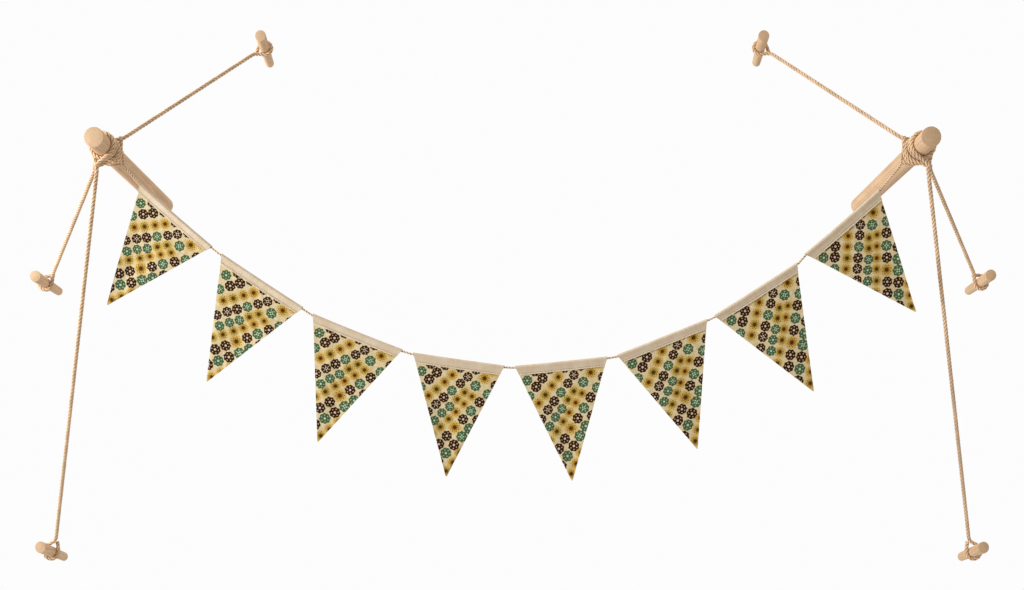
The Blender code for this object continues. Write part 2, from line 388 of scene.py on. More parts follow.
@dataclass(frozen=True)
class Weave:
    """A plain weave on a UV map in millimetres."""

    thread_mm: float

    def height(self, sketch: ShaderSketch, place: Signal) -> Signal:
        """Height of the weave, with uneven threads.

        Args:
            sketch: The material's sketch.
            place: Coordinates on the cloth.

        Returns:
            About 0 between the threads and 1.5 where one crosses over another.
        """
        slub = sketch.noise(place, 0.9, detail=2.0)
        u, v, _ = sketch.axes(place)
        u, v = slub * 0.5 + u, slub * -0.4 + v
        threads = sketch.wave(u, self.thread_mm) * sketch.wave(v, self.thread_mm)
        crossings = sketch.wave(u, 2.0 * self.thread_mm) * sketch.wave(v, 2.0 * self.thread_mm)
        return crossings * 0.5 + threads


@dataclass(frozen=True)
class TapeFinish(Finish):
    """Plain natural cotton tape, a little warmer in places."""

    light: Triple
    dark: Triple
    needle_hole_shade: Triple
    hole_pitch_mm: float
    holes_above_edge_mm: float
    weave: Weave

    def paint(self, sketch: ShaderSketch) -> None:
        """Adds the weave and soft creases, with painted shade between the threads and in the creases'
        hollows, changes of colour, and the needle's holes above the seam as dots of painted shade.

        Args:
            sketch: The material's sketch.
        """
        place = sketch.uv_map(Layer.CLOTH)
        weave = self.weave.height(sketch, place)
        crease = sketch.noise(place, (0.5, 0.07, 1.0))
        patch = sketch.noise(place, 0.05, detail=2.0)
        colour = sketch.mix(sketch.fade(patch, (0.3, 0.7)), self.dark, self.light)
        # Painted shade and highlight: the colour is darker between the threads and in the creases' hollows,
        # and lighter where threads cross and on the creases' tops.
        colour = sketch.tint(colour, sketch.fade(weave, (0.0, 1.2), (0.90, 1.05)))
        colour = sketch.tint(colour, sketch.fade(crease, (0.3, 0.8), (0.95, 1.03)))

        # Dots of painted shade where the needle's holes are, a little above the row of stitches.
        along, _, _ = sketch.axes(place)
        aside = sketch.math("WRAP", along, self.hole_pitch_mm / 2.0, -self.hole_pitch_mm / 2.0)
        above = sketch.attribute(Layer.SEAM, "Fac") - self.holes_above_edge_mm
        holes = sketch.fade(sketch.hypot(aside, above), (0.48, 0.22))
        sketch.colour_surface(sketch.mix(holes, colour, self.needle_hole_shade))
        sketch.raise_surface(crease * 1.6 + weave, depth_mm=0.07)


@dataclass(frozen=True)
class Bloom:
    """One layer of flowers in the shader: distance from each middle, in its radii, and angle."""

    sketch: ShaderSketch
    far: Signal
    angle: Signal

    def turned(self, by: float) -> Bloom:
        """The same flowers turned by an angle."""
        return replace(self, angle=self.angle + by)

    def disc(self, rim: Span, levels: Span = (0.0, 1.0)) -> Signal:
        """Mask of a round patch that fades in between two distances."""
        return self.sketch.fade(self.far, rim, levels)

    def from_petal(self, count: int) -> Signal:
        """Angle from the middle of the nearest petal."""
        half = math.pi / count
        return self.sketch.math("WRAP", self.angle, half, -half)

    def petals(self, count: int, ring: float, size: float) -> Signal:
        """Mask of a ring of round petals.

        Args:
            count: Number of petals.
            ring: Distance of their middles.
            size: Radius of one petal.

        Returns:
            1 on the petals and 0 off them.
        """
        folded = self.from_petal(count)
        out = self.far * self.sketch.math("COSINE", folded) - ring
        aside = self.far * self.sketch.math("SINE", folded)
        return self.sketch.fade(self.sketch.hypot(out, aside), (size * 1.12, size * 0.84))

    def star(self, count: int, reach: float, notch: float) -> Signal:
        """Mask of a flower with pointed petals.

        Args:
            count: Number of points.
            reach: Distance of their tips.
            notch: Depth of the notches between them.

        Returns:
            1 on the flower and 0 off it.
        """
        folded = self.sketch.math("ABSOLUTE", self.from_petal(count))
        edge = folded * (-notch * count / math.pi) + reach
        return self.sketch.fade(self.far - edge, (0.07, -0.07))


@dataclass(frozen=True)
class PrintFinish(Finish):
    """Cream cotton printed with small rosettes and blossoms, each drawn on its own UV map."""

    ground: Triple
    ground_warm: Triple
    brown: Triple
    brown_heart: Triple
    green: Triple
    green_heart: Triple
    ochre: Triple
    olive: Triple
    ochre_heart: Triple
    halo: Triple
    weave: Weave

    def rosette(self, bloom: Bloom, kind: Signal, heart: Signal, under: Signal) -> Signal:
        """Draws rosettes: eight dark petals with pale spots, round a heart of one dot or four.

        Args:
            bloom: The layer of flowers.
            kind: The number of each flower's kind.
            heart: 0 for one dot and 1 for four.
            under: Colour below them.

        Returns:
            The colour with the rosettes on it.
        """
        sketch = bloom.sketch
        green = sketch.math("COMPARE", kind, Blossom.GREEN.level, 0.5)
        dark = sketch.mix(green, self.brown, self.green)
        pale = sketch.mix(green, self.brown_heart, self.green_heart)
        body = sketch.larger(bloom.petals(8, ring=0.73, size=0.29), bloom.disc((0.94, 0.86)))
        one_dot = bloom.disc((0.25, 0.17)) * (1.0 - heart)
        four_dots = bloom.petals(4, ring=0.26, size=0.14) * heart
        spots = bloom.petals(6, ring=0.60, size=0.105) * 0.85
        return sketch.mix(sketch.larger(one_dot + four_dots, spots), sketch.mix(body, under, dark), pale)

    def blossom(self, bloom: Bloom, shade: Signal, under: Signal) -> Signal:
        """Draws gold blossoms: ochre points and specks on a yellow halo, with a dark heart.

        Args:
            bloom: The layer of flowers.
            shade: 0 for ochre petals, 1 for olive ones.
            under: Colour below them.

        Returns:
            The colour with the blossoms on it.
        """
        sketch = bloom.sketch
        ochre = sketch.mix(shade, self.ochre, self.olive)
        specks = bloom.turned(math.pi / 8.0).petals(8, ring=1.02, size=0.13) * 0.50
        colour = sketch.mix(bloom.disc((1.50, 0.85), (0.0, 0.88)), under, self.halo)
        colour = sketch.mix(specks, colour, ochre)
        colour = sketch.mix(bloom.star(8, reach=0.98, notch=0.36) * 0.94, colour, ochre)
        colour = sketch.mix(bloom.petals(8, ring=0.62, size=0.10), colour, self.halo)
        return sketch.mix(bloom.disc((0.46, 0.24)), colour, self.ochre_heart)

    def stamp(
        self, sketch: ShaderSketch, places: Layer, kinds: Layer, ragged: Signal, under: Signal
    ) -> Signal:
        """Prints one layer of flowers.

        Args:
            sketch: The material's sketch.
            places: The flowers' UV map.
            kinds: The attribute with their kinds, hearts and shades.
            ragged: Noise that makes their edges uneven.
            under: Colour below them.

        Returns:
            The colour with the flowers on it.
        """
        x, y, _ = sketch.axes(sketch.uv_map(places))
        kind, heart, shade = sketch.axes(sketch.attribute(kinds, "Vector"))
        far = sketch.hypot(x, y) + (ragged * 0.16 - 0.08)
        bloom = Bloom(sketch, far, sketch.math("ARCTAN2", y, x))
        gold = sketch.math("COMPARE", kind, Blossom.GOLD.level, 0.5)
        bare = sketch.math("LESS_THAN", kind, 0.5)
        dark = self.rosette(bloom, kind, heart, under)
        printed = sketch.mix(gold, dark, self.blossom(bloom, shade, under))
        return sketch.mix(bare, printed, under)

    def paint(self, sketch: ShaderSketch) -> None:
        """Adds the ground, the flowers and the weave, with painted shade between the weave's threads.

        Args:
            sketch: The material's sketch.
        """
        place = sketch.uv_map(Layer.CLOTH)
        weave = self.weave.height(sketch, place)
        ragged = sketch.noise(place, 0.85, roughness=0.6)
        patch = sketch.noise(place, 0.16, detail=2.0)
        ground = sketch.mix(sketch.fade(patch, (0.35, 0.65)), self.ground, self.ground_warm)
        ground = sketch.tint(ground, sketch.fade(ragged, (0.36, 0.60), (0.85, 1.04)))
        printed = self.stamp(sketch, Layer.UNDER, Layer.UNDER_KIND, ragged, ground)
        printed = self.stamp(sketch, Layer.OVER, Layer.OVER_KIND, ragged, printed)
        soaked = sketch.mix(sketch.attribute(Layer.FADE, "Fac"), ground, printed)
        # Painted shade and highlight: the colour is darker between the weave's threads and lighter where they
        # cross.
        sketch.colour_surface(sketch.tint(soaked, sketch.fade(weave, (0.0, 1.2), (0.82, 1.06))))
        sketch.raise_surface(ragged * 0.6 + weave, depth_mm=0.06)


@dataclass(frozen=True)
class PaperFinish(Finish):
    """The plain pale floor of the studio."""

    colour: Triple

    def paint(self, sketch: ShaderSketch) -> None:
        """Adds a faint unevenness."""
        soft = sketch.noise(sketch.object_place(), 1.5, detail=2.0)
        sketch.colour_surface(sketch.tint(self.colour, sketch.fade(soft, (0.3, 0.7), (0.99, 1.0))))


STITCH_PITCH = 1.6
STITCH_ABOVE_EDGE = 0.62

WOOD = WoodFinish(
    "sanded_dowel", roughness=0.60, sheen=0.0, specular=0.35,
    early=srgb(230, 196, 158), late=srgb(208, 164, 122), fleck=srgb(164, 116, 78),
    ring_mm=2.6, ring_drift_mm=9.0, saw_line_mm=1.3,
)
JUTE = YarnFinish(
    "laid_jute", roughness=0.92, sheen=0.10, specular=0.20,
    light=srgb(254, 226, 188), dark=srgb(222, 180, 140), painted_valley_shade=srgb(176, 128, 88),
    yarn_mm=0.62, lean=-0.35, relief_mm=0.16, girth_mm=6.7,
)
SOFT_STRING = YarnFinish(
    "soft_string", roughness=0.90, sheen=0.10, specular=0.20,
    light=srgb(255, 238, 208), dark=srgb(232, 200, 160), painted_valley_shade=srgb(186, 130, 88),
    yarn_mm=0.40, lean=-0.35, relief_mm=0.08, girth_mm=4.7,
)
SEWING_THREAD = YarnFinish(
    "sewing_thread", roughness=0.75, sheen=0.10, specular=0.25,
    light=srgb(255, 250, 236), dark=srgb(246, 230, 200), painted_valley_shade=srgb(246, 230, 200),
    yarn_mm=0.22, lean=0.5, relief_mm=0.03, girth_mm=1.0,
)
TAPE = TapeFinish(
    "cotton_tape", roughness=0.90, sheen=0.08, specular=0.20,
    light=srgb(238, 222, 196), dark=srgb(230, 208, 178), needle_hole_shade=srgb(150, 116, 84),
    hole_pitch_mm=STITCH_PITCH, holes_above_edge_mm=1.55, weave=Weave(0.42),
)
PRINTED_COTTON = PrintFinish(
    "flower_print", roughness=0.90, sheen=0.02, specular=0.06,
    ground=srgb(252, 237, 198), ground_warm=srgb(244, 219, 166),
    brown=srgb(62, 32, 6), brown_heart=srgb(236, 216, 186),
    green=srgb(80, 110, 76), green_heart=srgb(210, 230, 192),
    ochre=srgb(178, 122, 32), olive=srgb(144, 120, 38), ochre_heart=srgb(88, 54, 10),
    halo=srgb(238, 204, 110), weave=Weave(0.48),
)
PAPER = PaperFinish("studio_floor", roughness=0.85, sheen=0.0, specular=0.3, colour=(0.86, 0.86, 0.86))


class Wardrobe:
    """Makes each finish once and puts it on pieces."""

    def __init__(self) -> None:
        """Starts with nothing made."""
        self.made: dict[str, bpy.types.Material] = {}

    def dress(self, piece: bpy.types.Object, finish: Finish) -> None:
        """Gives a piece one finish all over.

        Args:
            piece: The piece.
            finish: Its finish.
        """
        if finish.name not in self.made:
            self.made[finish.name] = finish.make()
        piece.data.materials.clear()
        piece.data.materials.append(self.made[finish.name])


WARDROBE = Wardrobe()


def deselect_all() -> None:
    """Leaves object mode's selection empty, because an operator acts on all that is selected."""
    bpy.ops.object.select_all(action="DESELECT")


def settle(piece: bpy.types.Object, name: str, finish: Finish, nodes: Sequence[str]) -> None:
    """Names and dresses a finished piece, attaches it to the body and hides the CAD nodes that it stands for.

    Args:
        piece: The piece, with its place in its mesh.
        name: Its name.
        finish: Its finish.
        nodes: CAD nodes that it stands for.
    """
    piece.name = name
    piece.data.name = name
    WARDROBE.dress(piece, finish)
    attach(piece, BODY)
    if nodes:
        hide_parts(*nodes)
    LOG.info("%s: %d faces", name, len(piece.data.polygons))


def vertex_places(mesh: bpy.types.Mesh) -> np.ndarray:
    """Each vertex's place in metres.

    Args:
        mesh: The mesh.

    Returns:
        An array with a row for each vertex.
    """
    places = np.zeros(len(mesh.vertices) * 3, np.float64)
    mesh.vertices.foreach_get("co", places)
    return places.reshape(-1, 3)


def corner_vertices(mesh: bpy.types.Mesh) -> np.ndarray:
    """The number of the vertex at each corner of each face.

    Args:
        mesh: The mesh.

    Returns:
        An array with a number for each face corner.
    """
    corners = np.zeros(len(mesh.loops), np.int32)
    mesh.loops.foreach_get("vertex_index", corners)
    return corners


def write_uv(mesh: bpy.types.Mesh, layer: Layer, corners: np.ndarray) -> None:
    """Stores a UV map that is given for each corner of each face."""
    uv = mesh.uv_layers.new(name=layer.value)
    uv.data.foreach_set("uv", corners.astype(np.float32).ravel())


@dataclass(frozen=True)
class Stick:
    """A round wooden stick that stands out from the wall and slopes a little.

    foot_x and foot_z are the centre of its foot on the wall, end_x and end_z that of its free end.
    """

    node: str
    foot_x: float
    foot_z: float
    end_x: float
    end_z: float
    reach: float
    end_diameter: float
    foot_diameter: float
    seed: float
    sides: int = 64
    stages: int = 8
    end_rounding: float = 0.5

    @property
    def stretch(self) -> float:
        """How much taller than wide an upright cut through the sloping stick is."""
        return math.hypot(1.0, (self.end_z - self.foot_z) / self.reach)

    def axis_at(self, station: float) -> Vector:
        """Centre of the stick.

        Args:
            station: Distance behind its free end.

        Returns:
            The centre there.
        """
        share = station / self.reach
        return Vector((
            self.end_x + (self.foot_x - self.end_x) * share,
            station - self.reach,
            self.end_z + (self.foot_z - self.end_z) * share,
        ))

    def radius_at(self, station: float) -> float:
        """The tapered stick's radius at a station."""
        share = station / self.reach
        return (self.end_diameter * (1.0 - share) + self.foot_diameter * share) / 2.0

    def beside(self, station: float, angle: float, radius: float) -> Vector:
        """Point at a radius from the axis, in the upright plane at that station."""
        out = Vector((math.cos(angle), 0.0, math.sin(angle) * self.stretch))
        return self.axis_at(station) + out * radius

    def model(self) -> None:
        """Extrudes the stick from its foot on the wall, and rounds the rim of its free end."""
        deselect_all()
        bpy.ops.mesh.primitive_circle_add(
            vertices=self.sides,
            radius=self.foot_diameter / 2.0 * MM,
            fill_type="NGON",
            location=self.axis_at(self.reach) * MM,
            rotation=(math.pi / 2.0, 0.0, 0.0),
        )
        stick = bpy.context.object
        bpy.ops.object.mode_set(mode="EDIT")
        bpy.ops.mesh.select_all(action="SELECT")
        bpy.ops.transform.resize(value=(1.0, 1.0, self.stretch))
        step = (self.axis_at(0.0) - self.axis_at(self.reach)) / self.stages * MM
        for stage in range(self.stages):
            stations = [self.reach * (self.stages - stage - extra) / self.stages for extra in (0, 1)]
            growth = self.radius_at(stations[1]) / self.radius_at(stations[0])
            bpy.ops.mesh.extrude_region_move(TRANSFORM_OT_translate={"value": step})
            bpy.ops.transform.resize(value=(growth, 1.0, growth))
        bpy.ops.mesh.region_to_loop()
        bpy.ops.mesh.bevel(offset=self.end_rounding * MM, segments=3, profile=0.5, affect="EDGES")
        bpy.ops.mesh.select_all(action="SELECT")
        bpy.ops.mesh.normals_make_consistent(inside=False)
        bpy.ops.object.mode_set(mode="OBJECT")
        bpy.ops.object.transform_apply(location=True, rotation=True, scale=True)
        bpy.ops.object.shade_smooth_by_angle(angle=math.radians(32.0))
        self.mark_grain(stick)
        settle(stick, f"dowel_{self.node}", WOOD, [self.node])

    def mark_grain(self, stick: bpy.types.Object) -> None:
        """Stores each point's place in its tree, whose pith is 9 to 19 mm beside the stick's axis.

        Args:
            stick: The modelled stick.
        """
        layer = stick.data.attributes.new(Layer.GRAIN.value, "FLOAT_VECTOR", "POINT")
        from_pith = Vector((
            11.0 + 5.0 * math.sin(self.seed),
            210.0 * self.seed,
            8.0 + 6.0 * math.cos(self.seed),
        ))
        for vertex, place in zip(stick.data.vertices, layer.data):
            point = vertex.co / MM
            from_axis = point - self.axis_at(point.y + self.reach)
            place.vector = from_axis + from_pith + Vector((0.0, point.y, 0.0))


LAID_GAP = 0.3
SNUG_GAP = 0.12
THROAT_ROUNDING = 5.0
ROUTE_STEP = 1.0


@dataclass(frozen=True)
class Noose:
    """A loop drawn tight round a stick by the cord that leaves from its throat.

    The throat is a station behind the stick's free end, at an angle in degrees up from +X and a reach
    from its axis. towards_foot and winding are 1 or -1: 1 where the turns advance towards the foot,
    and 1 where they go round in the direction of rising angles.
    """

    station: float
    towards_foot: int
    throat_angle: float
    throat_reach: float
    turns: int
    winding: int

    def mirrored(self) -> Noose:
        """The same loop on the right side."""
        return replace(self, throat_angle=180.0 - self.throat_angle, winding=-self.winding)

    def points(self, stick: Stick, diameter: float) -> list[Vector]:
        """Points of the loop from its throat, round the stick, to its tail beside the throat.

        Args:
            stick: What the loop is drawn round.
            diameter: The cord's diameter.

        Returns:
            Points about a millimetre apart on the turns, in millimetres.
        """
        pitch = diameter + LAID_GAP
        radius = stick.radius_at(self.station) + SNUG_GAP + diameter / 2.0
        throat_angle = math.radians(self.throat_angle)
        half_mouth = math.acos(radius / self.throat_reach)
        sweep = math.tau * self.turns - 2.0 * half_mouth
        count = math.ceil(sweep * radius)
        points = [stick.beside(self.station, throat_angle, self.throat_reach)]
        for k in range(count + 1):
            swept = sweep * k / count
            angle = throat_angle + self.winding * (half_mouth + swept)
            station = self.station + self.towards_foot * pitch * swept / math.tau
            points.append(stick.beside(station, angle, radius))
        tail_station = self.station + self.towards_foot * pitch
        points.append(stick.beside(tail_station, throat_angle, self.throat_reach))
        return points


@dataclass(frozen=True)
class CordLine:
    """A cord's middle line as arrays: its points, the length up to each, and two directions across."""

    points: np.ndarray
    run: np.ndarray
    sideways: np.ndarray
    upward: np.ndarray


class Route:
    """The middle line of a cord."""

    def __init__(self, points: Sequence[Vector]) -> None:
        """Spaces uneven points, in millimetres, evenly and eases their small kinks."""
        self.points = self.eased(self.spaced(points), passes=3)

    @classmethod
    def tied(cls, loop_a: list[Vector], middle: list[Vector], loop_b: list[Vector]) -> Route:
        """A cord tied at both ends.

        Args:
            loop_a: Points of the first loop, from its throat.
            middle: Points between the loops.
            loop_b: Points of the other loop, from its throat.

        Returns:
            The route from the tail of one loop to the other's.
        """
        start, end = loop_a[0], loop_b[0]
        first = (middle or [end])[0]
        last = (middle or [start])[-1]
        line = loop_a[:0:-1]
        line += cls.rounded_corner(loop_a[1], start, first)
        line += middle
        line += cls.rounded_corner(last, end, loop_b[1])
        return cls(line + loop_b[1:])

    @staticmethod
    def rounded_corner(before: Vector, corner: Vector, after: Vector, steps: int = 6) -> list[Vector]:
        """A corner made round.

        Args:
            before: A point before it.
            corner: The corner.
            after: A point after it.
            steps: Steps of the curve.

        Returns:
            Points of a quadratic curve.
        """
        start = corner + (before - corner).normalized() * THROAT_ROUNDING
        end = corner + (after - corner).normalized() * THROAT_ROUNDING
        shares = [k / steps for k in range(steps + 1)]
        return [start * (1 - t) ** 2 + corner * 2 * t * (1 - t) + end * t * t for t in shares]

    @staticmethod
    def spaced(line: Sequence[Vector]) -> list[Vector]:
        """The same line with its points a step apart.

        Args:
            line: The line.

        Returns:
            The new points.
        """
        lengths = [(b - a).length for a, b in zip(line, line[1:])]
        total = sum(lengths)
        count = round(total / ROUTE_STEP)
        points = [line[0]]
        leg, passed = 0, 0.0
        for k in range(1, count):
            target = total * k / count
            while passed + lengths[leg] < target:
                passed += lengths[leg]
                leg += 1
            points.append(line[leg].lerp(line[leg + 1], (target - passed) / lengths[leg]))
        return points + [line[-1]]

    @staticmethod
    def eased(line: list[Vector], passes: int) -> list[Vector]:
        """The line with each point drawn towards its neighbours, its ends kept.

        Args:
            line: The line.
            passes: How many times it is eased.

        Returns:
            The new points.
        """
        for _ in range(passes):
            inner = [(a + b * 2.0 + c) / 4.0 for a, b, c in zip(line, line[1:], line[2:])]
            line = [line[0], *inner, line[-1]]
        return line

    @property
    def length(self) -> float:
        """Length of the line in millimetres."""
        return sum((b - a).length for a, b in zip(self.points, self.points[1:]))

    def line(self) -> CordLine:
        """The line as arrays.

        Returns:
            Points, lengths, and directions that turn with the line and don't twist.
        """
        tangents = []
        for k in range(len(self.points)):
            ahead = self.points[min(k + 1, len(self.points) - 1)]
            behind = self.points[max(k - 1, 0)]
            tangents.append((ahead - behind).normalized())
        across = tangents[0].orthogonal().normalized()
        sideways, upward = [], []
        for tangent in tangents:
            across = (across - tangent * across.dot(tangent)).normalized()
            sideways.append(across)
            upward.append(tangent.cross(across))
        run = np.linspace(0.0, self.length, len(self.points))
        return CordLine(np.array(self.points), run, np.array(sideways), np.array(upward))


@dataclass(frozen=True)
class MeshPart:
    """A part of a cord's mesh: vertices in millimetres, faces, and UVs for each face corner."""

    vertices: np.ndarray
    faces: list[list[int]]
    uv: list[tuple[float, float]]


@dataclass(frozen=True)
class LaidCord:
    """A cord of strands twisted together, with its stray fibres.

    The strands' middles lie strand_ring from the cord's own, and strand_out and strand_aside are the
    half-axes of a strand's oval section.
    """

    finish: Finish
    slot: Slot
    lay: Lay
    diameter: float
    strands: int
    twist_pitch: float
    strand_ring: float
    strand_out: float
    strand_aside: float
    fibres_per_cm: float
    fibre_length: float
    strand_sides: int = 10
    fibre_radius: float = 0.05
    fibre_root_depth: float = 0.25
    fibre_lift: Span = (0.15, 0.55)
    fibre_curl: float = 0.5
    shortest_fibre: float = 0.5

    def build(self, name: str, node: str, route: Route, seed: int) -> None:
        """Models one cord, names, dresses and attaches it, and logs its length.

        Args:
            name: Name of the piece.
            node: CAD node that it stands for.
            route: Its middle line.
            seed: Start of the random numbers for its fibres.
        """
        cord = self.model(name, route.line(), seed)
        settle(cord, name, self.finish, [node])
        path = [point * MM for point in route.points]
        round(route.length * MM, 3)
        self.diameter * MM
        LOG.info("%s: %.0f mm long", name, route.length)

    def model(self, name: str, line: CordLine, seed: int) -> bpy.types.Object:
        """Makes the strands and fibres as one mesh, with a UV map in millimetres.

        Args:
            name: Name of the mesh and object.
            line: The cord's middle line.
            seed: Start of the random numbers for the fibres.

        Returns:
            The mesh object.
        """
        parts = [self.strand(line, k) for k in range(self.strands)] + self.fibres(line, seed)
        faces, uv, start = [], [], 0
        for part in parts:
            faces += [[start + corner for corner in face] for face in part.faces]
            uv += part.uv
            start += len(part.vertices)
        mesh = bpy.data.meshes.new(name)
        mesh.from_pydata((np.concatenate([part.vertices for part in parts]) * MM).tolist(), [], faces)
        mesh.update()
        write_uv(mesh, Layer.YARN, np.array(uv))
        mesh.shade_smooth()
        piece = bpy.data.objects.new(name, mesh)
        bpy.context.scene.collection.objects.link(piece)
        return piece

    def strand(self, line: CordLine, number: int) -> MeshPart:
        """One strand, closed at both ends.

        Args:
            line: The cord's middle line.
            number: The strand's number, from 0.

        Returns:
            Its part of the mesh.
        """
        turned = math.tau * (line.run / self.twist_pitch + number / self.strands)
        out = line.sideways * np.cos(turned)[:, None] + line.upward * np.sin(turned)[:, None]
        centre = line.points + out * self.strand_ring
        tangent = np.gradient(centre, axis=0)
        tangent /= np.linalg.norm(tangent, axis=1)[:, None]
        aside = np.cross(tangent, out)
        aside /= np.linalg.norm(aside, axis=1)[:, None]
        out = np.cross(aside, tangent)
        lengths = np.concatenate(([0.0], np.cumsum(np.linalg.norm(np.diff(centre, axis=0), axis=1))))

        sides = self.strand_sides
        angles = np.pi + math.tau * np.arange(sides) / sides
        rings = (
            centre[:, None, :]
            + out[:, None, :] * (np.cos(angles) * self.strand_out)[None, :, None]
            + aside[:, None, :] * (np.sin(angles) * self.strand_aside)[None, :, None]
        )
        girth = math.pi * (self.strand_out + self.strand_aside)
        faces, uv = [], []
        for k in range(len(centre) - 1):
            for j in range(sides):
                after = (j + 1) % sides
                faces.append([k * sides + j, k * sides + after, (k + 1) * sides + after, (k + 1) * sides + j])
                low, high = girth * j / sides, girth * (j + 1) / sides
                uv += [(lengths[k], low), (lengths[k], high), (lengths[k + 1], high), (lengths[k + 1], low)]
        last = (len(centre) - 1) * sides
        faces.append(list(range(sides))[::-1])
        faces.append([last + j for j in range(sides)])
        uv += [(0.0, 0.3 * j) for j in range(2 * sides)]
        return MeshPart(rings.reshape(-1, 3), faces, uv)

    def fibres(self, line: CordLine, seed: int) -> list[MeshPart]:
        """Short stray fibres that lift off the strands.

        Args:
            line: The cord's middle line.
            seed: Start of the random numbers.

        Returns:
            A part of the mesh for each fibre.
        """
        dice = random.Random(seed)
        count = round(len(line.points) * ROUTE_STEP / 10.0 * self.fibres_per_cm)
        made = []
        for _ in range(count):
            k = dice.randrange(3, len(line.points) - 3)
            angle = dice.uniform(0.0, math.tau)
            out = Vector(line.sideways[k] * math.cos(angle) + line.upward[k] * math.sin(angle))
            along = Vector(line.points[k + 1] - line.points[k - 1]).normalized() * dice.choice((-1.0, 1.0))
            aside = out.cross(along)
            length = self.fibre_length * dice.uniform(self.shortest_fibre, 1.0)
            root = Vector(line.points[k]) + out * (self.diameter / 2.0 - self.fibre_root_depth)
            lift = dice.uniform(*self.fibre_lift)
            curl = dice.uniform(-self.fibre_curl, self.fibre_curl)
            middle = root + (along * 0.5 + out * lift * 0.35 + aside * curl * 0.2) * length
            tip = root + (along * 0.9 + out * lift * 0.9 + aside * curl * 0.7) * length
            made.append(self.fibre(root, middle, tip))
        return made

    def fibre(self, root: Vector, middle: Vector, tip: Vector) -> MeshPart:
        """One fibre as a thin bent three-sided spike.

        Args:
            root: Where it leaves the strand.
            middle: Where it bends.
            tip: Its point.

        Returns:
            Its part of the mesh.
        """
        run = (tip - root).normalized()
        across = run.orthogonal().normalized()
        other = run.cross(across)
        corners = []
        for place, radius in ((root, self.fibre_radius), (middle, self.fibre_radius * 0.8)):
            for j in range(3):
                angle = math.tau * j / 3
                corners.append(place + (across * math.cos(angle) + other * math.sin(angle)) * radius)
        corners.append(tip)
        faces = [[2, 1, 0]]
        uv = [(0.0, 0.0)] * 3
        for j in range(3):
            after = (j + 1) % 3
            faces.append([j, after, 3 + after, 3 + j])
            faces.append([3 + j, 3 + after, 6])
            uv += [(0.0, 0.0), (0.0, 0.1), (1.0, 0.1), (1.0, 0.0), (1.0, 0.0), (1.0, 0.1), (2.0, 0.05)]
        return MeshPart(np.array([list(corner) for corner in corners]), faces, uv)


JUTE_CORD = LaidCord(
    JUTE, Slot.JUTE, Lay.TAUT, diameter=4.4, strands=3, twist_pitch=13.5,
    strand_ring=1.25, strand_out=0.96, strand_aside=1.16, fibres_per_cm=6.0, fibre_length=3.6,
)
SOFT_CORD = LaidCord(
    SOFT_STRING, Slot.STRING, Lay.HANGING, diameter=2.4, strands=2, twist_pitch=6.4,
    strand_ring=0.58, strand_out=0.68, strand_aside=0.80, fibres_per_cm=3.0, fibre_length=2.2,
    strand_sides=8, fibre_radius=0.04,
)


@dataclass(frozen=True)
class Stay:
    """One stay cord of the left side: its loop on the post and its loop on the peg."""

    name: str
    at_post: Noose
    at_peg: Noose


POST = dict(reach=212.0, end_diameter=20.4, foot_diameter=19.0)
PEG = dict(reach=64.0, end_diameter=12.6, foot_diameter=9.8, sides=40, stages=4, end_rounding=0.4)

POSTS = {
    "left": Stick("post_left", -420.5, 0.5, -422.7, 51.6, seed=0.4, **POST),
    "right": Stick("post_right", 420.5, 0.5, 423.8, 52.1, seed=2.9, **POST),
}

PEGS = {
    ("upper", "left"): Stick("peg_upper_left", -293.6, 172.8, -289.6, 190.6, seed=1.1, **PEG),
    ("outer", "left"): Stick("peg_outer_left", -549.7, -103.4, -549.1, -86.2, seed=2.0, **PEG),
    ("lower", "left"): Stick("peg_lower_left", -543.3, -425.0, -543.0, -398.4, seed=3.7, **PEG),
    ("upper", "right"): Stick("peg_upper_right", 296.2, 174.0, 290.0, 190.6, seed=4.5, **PEG),
    ("outer", "right"): Stick("peg_outer_right", 553.7, -102.7, 551.5, -85.0, seed=5.2, **PEG),
    ("lower", "right"): Stick("peg_lower_right", 545.1, -425.0, 543.1, -398.7, seed=6.3, **PEG),
}

STAYS = (
    Stay("lower", Noose(27.0, -1, -110.0, 21.8, 2, -1), Noose(27.0, 1, 62.0, 12.8, 1, 1)),
    Stay("outer", Noose(36.1, -1, -125.0, 22.9, 1, -1), Noose(27.0, 1, 47.0, 12.8, 1, -1)),
    Stay("upper", Noose(42.0, -1, 46.7, 19.7, 1, 1), Noose(27.0, 1, -151.0, 12.8, 1, 1)),
)

STRING_NOOSE = Noose(48.2, -1, -42.0, 15.5, 1, 1)


@dataclass(frozen=True)
class Rigging:
    """The stay cords between the posts and the pegs."""

    posts: Mapping[str, Stick]
    pegs: Mapping[tuple[str, str], Stick]
    stays: Sequence[Stay]

    def build(self) -> None:
        for side, post in self.posts.items():
            for number, stay in enumerate(self.stays):
                self.build_stay(side, post, stay, seed=10 * number + len(side))

    def build_stay(self, side: str, post: Stick, stay: Stay, seed: int) -> None:
        """Models one stay of laid jute, looped round its post and its peg.

        Args:
            side: "left" or "right".
            post: The post of that side.
            stay: Its two loops, as on the left side.
            seed: Start of the random numbers for its fibres.
        """
        at_post, at_peg = stay.at_post, stay.at_peg
        if side == "right":
            at_post, at_peg = at_post.mirrored(), at_peg.mirrored()
        on_post = at_post.points(post, JUTE_CORD.diameter)
        on_peg = at_peg.points(self.pegs[stay.name, side], JUTE_CORD.diameter)
        route = Route.tied(on_post, [], on_peg)
        JUTE_CORD.build(f"rope_{stay.name}_{side}", f"stay_{stay.name}_{side}", route, seed)


@dataclass(frozen=True)
class Pennant:
    """Corners of one pennant, how high its tape is, how uneven it hangs, and where its print lies.

    bow is how far the middle of its heading sags, and tip_forward how far its tip hangs towards the
    viewer. print_along and print_down shift the print on it.
    """

    left_x: float
    left_z: float
    right_x: float
    right_z: float
    tip_x: float
    tip_z: float
    tape_height: float
    bow: float
    tip_forward: float
    print_along: float
    print_down: float


